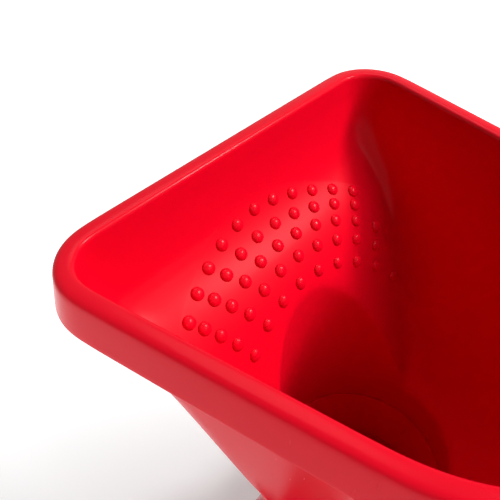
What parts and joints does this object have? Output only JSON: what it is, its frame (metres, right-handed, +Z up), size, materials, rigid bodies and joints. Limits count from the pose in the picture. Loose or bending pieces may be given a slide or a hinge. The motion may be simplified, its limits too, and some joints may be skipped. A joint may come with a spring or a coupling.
{
  "type": "food mill",
  "caption": "Hand-cranked food mill: a red hopper with a bumped apron feeds a barrel with an auger, a strainer cone, a juice chute and a suction foot.",
  "frame": {"origin": "centre of the suction pad's underside, on the table", "axes": "+Z up, barrel along Y with the crank at -Y and the strainer at +Y, hopper's straight end towards -X"},
  "size_m": [0.1321, 0.3278, 0.282],
  "materials": {
    "red_plastic": "glossy moulded",
    "white_plastic": "satin moulded",
    "steel": "brushed",
    "rubber": "matt",
    "zinc": "zinc plated",
    "bush_plastic": "matt"
  },
  "bodies": {
    "stand": {"body_housing": "red_plastic", "rear_bush": "bush_plastic", "shaft_seal": "rubber", "strainer_screen": "steel", "waste_spout": "white_plastic", "base_shell": "red_plastic", "base_plate": "white_plastic", "suction_pad": "rubber", "base_screws": "zinc", "housing_screws": "zinc"},
    "feed_hopper": {"hopper": "red_plastic"},
    "crank": {"crank_arm": "white_plastic", "crank_screw": "zinc", "drive_shaft": "steel", "thrust_washer": "bush_plastic", "auger": "red_plastic", "handle_spindle": "steel", "spindle_cap": "white_plastic"},
    "grip": {"handle_grip": "red_plastic"},
    "ring": {"screen_ring": "white_plastic"},
    "chute": {"juice_chute": "red_plastic"},
    "lever": {"suction_lever": "white_plastic"},
    "stem": {"pad_stem": "steel"}
  },
  "joints": [
    {"name": "crank_turn", "type": "hinge", "parent": "stand", "child": "crank", "pos_m": [0, 0, 0.13], "axis": [0, 1, 0], "continuous": true},
    {"name": "grip_spin", "type": "hinge", "parent": "crank", "child": "grip", "pos_m": [0, -0.111, 0.035], "axis": [0, 1, 0], "continuous": true},
    {"name": "hopper_lift", "type": "slide", "parent": "stand", "child": "feed_hopper", "axis": [0, 0, 1], "range_m": [0, 0.06]},
    {"name": "ring_twist", "type": "hinge", "parent": "stand", "child": "ring", "pos_m": [0, 0.05, 0.13], "axis": [0, 1, 0], "range_deg": [0, 45]},
    {"name": "chute_pull", "type": "slide", "parent": "stand", "child": "chute", "axis": [0, 1, 0], "range_m": [0, 0.03]},
    {"name": "lever_turn", "type": "hinge", "parent": "stand", "child": "lever", "pos_m": [0, 0, 0.023], "axis": [0, 0, 1], "range_deg": [0, 90]},
    {"name": "stem_rise", "type": "slide", "parent": "stand", "child": "stem", "axis": [0, 0, 1], "range_m": [0, 0.0035]}
  ],
  "couplings": [
    {"joint": "stem_rise", "follows": "lever_turn", "m_per_rad": 0.0022281}
  ]
}
